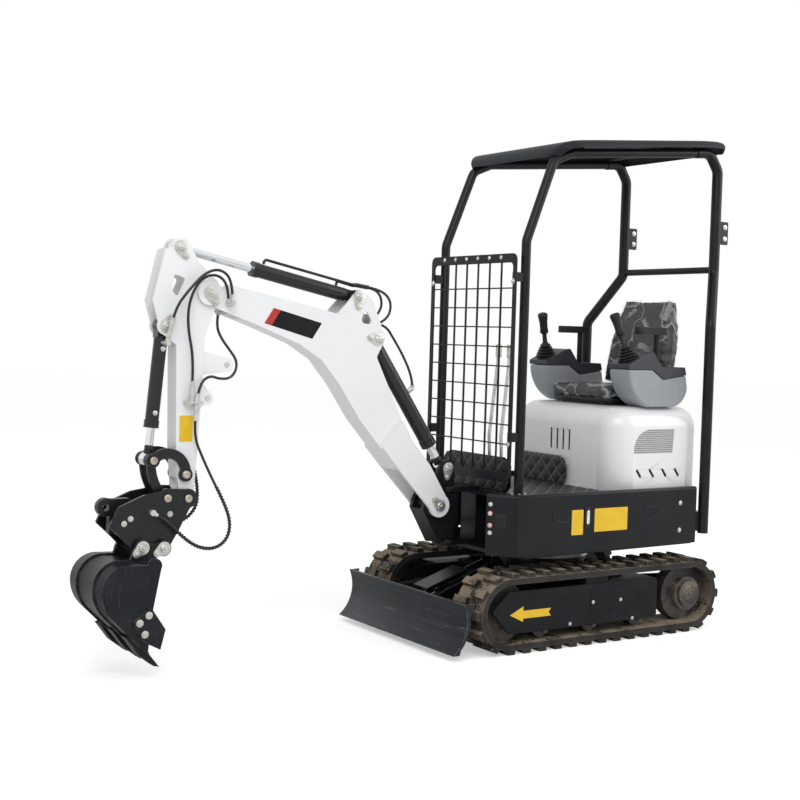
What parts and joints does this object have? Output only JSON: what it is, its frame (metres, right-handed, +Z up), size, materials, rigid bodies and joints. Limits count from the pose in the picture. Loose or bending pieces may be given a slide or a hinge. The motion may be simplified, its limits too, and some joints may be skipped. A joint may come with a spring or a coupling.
{
  "type": "mini excavator",
  "caption": "Small tracked excavator with an open canopy, mesh front guard, swinging boom, arm, quick hitch with bucket, and a dozer blade.",
  "frame": {"origin": "on the ground under the slew axis", "axes": "+X forward towards the bucket, +Y to the operator's left, +Z up"},
  "size_m": [3.088, 0.93, 2.3235],
  "materials": {
    "white_paint": "gloss white paint",
    "black_paint": "gloss black paint",
    "blade_paint": "blue-black paint, scratched",
    "track_rubber": "black rubber with dried mud",
    "dark_steel": "dark steel",
    "bearing_steel": "machined steel",
    "chrome_rod": "hard chrome",
    "cylinder_black": "gloss black paint",
    "counterweight_iron": "black paint over cast iron",
    "engine_metal": "cast alloy",
    "grille_metal": "perforated black sheet",
    "seat_vinyl": "black vinyl under clear film",
    "seat_pan": "black plastic",
    "console_grey": "silver-grey plastic",
    "console_charcoal": "charcoal plastic",
    "grip_black": "black plastic",
    "lever_steel": "plated steel",
    "hose_rubber": "black rubber hose",
    "fitting_steel": "zinc-plated steel",
    "quilted_mat": "black quilted leather with beige stitching"
  },
  "bodies": {
    "undercarriage": {"track_frame": "black_paint", "track_left": "track_rubber", "track_right": "track_rubber", "sprockets": "dark_steel", "rollers": "dark_steel", "slew_bearing": "bearing_steel"},
    "blade": {"blade": "blade_paint"},
    "blade_cylinder_barrel": {"blade_cylinder_barrel": "cylinder_black"},
    "blade_cylinder_rod": {"blade_cylinder_rod": "chrome_rod", "blade_cylinder_guard": "black_paint"},
    "house": {"house_frame": "black_paint", "side_covers": "black_paint", "counterweight": "counterweight_iron", "engine_hood": "white_paint", "hood_grilles": "grille_metal", "engine": "engine_metal", "seat_base": "seat_pan", "seat_cushion": "seat_vinyl", "seat_back": "seat_vinyl", "console_bases": "console_grey", "console_tops": "console_charcoal", "joysticks": "grip_black", "armrests": "grip_black", "floor_mat": "quilted_mat", "travel_levers": "lever_steel", "canopy_frame": "black_paint", "canopy_roof": "black_paint", "front_guard": "black_paint", "swing_bracket": "black_paint"},
    "swing_cylinder_barrel": {"swing_cylinder_barrel": "cylinder_black"},
    "swing_cylinder_rod": {"swing_cylinder_rod": "chrome_rod"},
    "swing_post": {"swing_post": "black_paint"},
    "boom": {"boom": "white_paint", "boom_fittings": "fitting_steel", "hose_bucket_cylinder": "hose_rubber", "hose_arm_bulkhead": "hose_rubber", "hose_thumb": "hose_rubber", "hose_arm_cylinder_outer": "hose_rubber", "hose_arm_cylinder_inner": "hose_rubber", "hose_boom_cylinder": "hose_rubber"},
    "boom_cylinder_barrel": {"boom_cylinder_barrel": "cylinder_black", "boom_cylinder_fitting": "fitting_steel"},
    "boom_cylinder_rod": {"boom_cylinder_rod": "chrome_rod"},
    "arm_cylinder_barrel": {"arm_cylinder_barrel": "cylinder_black", "arm_cylinder_pipes": "cylinder_black"},
    "arm_cylinder_rod": {"arm_cylinder_rod": "chrome_rod"},
    "arm": {"arm": "white_paint", "arm_fittings": "fitting_steel", "hose_hitch_left": "hose_rubber", "hose_hitch_right": "hose_rubber"},
    "bucket_cylinder_barrel": {"bucket_cylinder_barrel": "cylinder_black", "bucket_cylinder_fitting": "fitting_steel"},
    "bucket_cylinder_rod": {"bucket_cylinder_rod": "chrome_rod"},
    "tipping_levers": {"tipping_levers": "black_paint"},
    "bucket_link": {"bucket_link": "black_paint"},
    "bucket": {"quick_hitch": "black_paint", "bucket": "black_paint", "hitch_fittings": "fitting_steel"}
  },
  "joints": [
    {"name": "slew", "type": "hinge", "parent": "undercarriage", "child": "house", "pos_m": [0, 0, 0.37], "axis": [0, 0, 1], "continuous": true},
    {"name": "swing", "type": "hinge", "parent": "house", "child": "swing_post", "pos_m": [0.56, 0, 0.55], "axis": [0, 0, 1], "range_deg": [-55, 55]},
    {"name": "boom", "type": "hinge", "parent": "swing_post", "child": "boom", "pos_m": [0.654, 0, 0.602], "axis": [0, -1, 0], "range_deg": [-72, 25]},
    {"name": "arm", "type": "hinge", "parent": "boom", "child": "arm", "pos_m": [1.778, 0, 1.499], "axis": [0, 1, 0], "range_deg": [-80, 25], "deforming": ["hose_bucket_cylinder", "hose_arm_bulkhead", "hose_thumb"]},
    {"name": "bucket", "type": "hinge", "parent": "arm", "child": "bucket", "pos_m": [1.864, 0, 0.687], "axis": [0, -1, 0], "range_deg": [-115, 30], "deforming": ["hose_hitch_left", "hose_hitch_right"]},
    {"name": "blade", "type": "hinge", "parent": "undercarriage", "child": "blade", "pos_m": [0.318, 0, 0.2], "axis": [0, -1, 0], "range_deg": [-18, 25]},
    {"name": "swing_cylinder_turn", "type": "hinge", "parent": "house", "child": "swing_cylinder_barrel", "pos_m": [0.11, -0.215, 0.505], "axis": [0, 0, 1], "range_deg": [-0.93, 0.93]},
    {"name": "swing_cylinder_slide", "type": "slide", "parent": "swing_cylinder_barrel", "child": "swing_cylinder_rod", "axis": [0.9768, 0.2141, 0], "range_m": [-0.0934, 0.0934]},
    {"name": "boom_cylinder_turn", "type": "hinge", "parent": "boom", "child": "boom_cylinder_barrel", "pos_m": [0.989, 0, 1.333], "axis": [0, -1, 0], "range_deg": [-3.55, 1.56], "deforming": ["hose_boom_cylinder"]},
    {"name": "boom_cylinder_slide", "type": "slide", "parent": "boom_cylinder_barrel", "child": "boom_cylinder_rod", "axis": [-0.565, 0, -0.8251], "range_m": [-0.0636, 0.1813]},
    {"name": "arm_cylinder_turn", "type": "hinge", "parent": "boom", "child": "arm_cylinder_barrel", "pos_m": [1.09, 0, 1.509], "axis": [0, -1, 0], "range_deg": [-3, 8.51], "deforming": ["hose_arm_cylinder_outer", "hose_arm_cylinder_inner"]},
    {"name": "arm_cylinder_slide", "type": "slide", "parent": "arm_cylinder_barrel", "child": "arm_cylinder_rod", "axis": [0.9802, 0, 0.1982], "range_m": [-0.2535, 0.0799]},
    {"name": "bucket_cylinder_turn", "type": "hinge", "parent": "arm", "child": "bucket_cylinder_barrel", "pos_m": [1.956, 0, 1.363], "axis": [0, -1, 0], "range_deg": [-1.97, 0.88]},
    {"name": "bucket_cylinder_slide", "type": "slide", "parent": "bucket_cylinder_barrel", "child": "bucket_cylinder_rod", "axis": [0.0948, 0, -0.9955], "range_m": [-0.0464, 0.1751]},
    {"name": "blade_cylinder_turn", "type": "hinge", "parent": "undercarriage", "child": "blade_cylinder_barrel", "pos_m": [0.3, 0, 0.318], "axis": [0, -1, 0], "range_deg": [-16.5, 22.72]},
    {"name": "blade_cylinder_slide", "type": "slide", "parent": "blade_cylinder_barrel", "child": "blade_cylinder_rod", "axis": [0.9482, 0, -0.3176], "range_m": [-0.048, 0.0349]},
    {"name": "tipping_lever_turn", "type": "hinge", "parent": "arm", "child": "tipping_levers", "pos_m": [1.867, 0, 0.779], "axis": [0, -1, 0], "range_deg": [-72.95, 19.4]},
    {"name": "bucket_link_turn", "type": "hinge", "parent": "bucket", "child": "bucket_link", "pos_m": [1.952, 0, 0.691], "axis": [0, -1, 0], "range_deg": [-19.58, 73.64]}
  ],
  "couplings": [
    {"joint": "swing_cylinder_turn", "follows": "swing", "ratio": -0.00781},
    {"joint": "swing_cylinder_slide", "follows": "swing", "m_per_rad": 0.09625},
    {"joint": "boom_cylinder_turn", "follows": "boom", "ratio": 0.0423},
    {"joint": "boom_cylinder_slide", "follows": "boom", "m_per_rad": -0.14344},
    {"joint": "arm_cylinder_turn", "follows": "arm", "ratio": -0.10011},
    {"joint": "arm_cylinder_slide", "follows": "arm", "m_per_rad": 0.18081},
    {"joint": "bucket_cylinder_turn", "follows": "bucket", "ratio": 0.01275},
    {"joint": "bucket_cylinder_slide", "follows": "bucket", "m_per_rad": -0.08673},
    {"joint": "blade_cylinder_turn", "follows": "blade", "ratio": 0.88895},
    {"joint": "blade_cylinder_slide", "follows": "blade", "m_per_rad": -0.10775},
    {"joint": "tipping_lever_turn", "follows": "bucket", "ratio": 0.63},
    {"joint": "bucket_link_turn", "follows": "bucket", "ratio": -0.636}
  ]
}
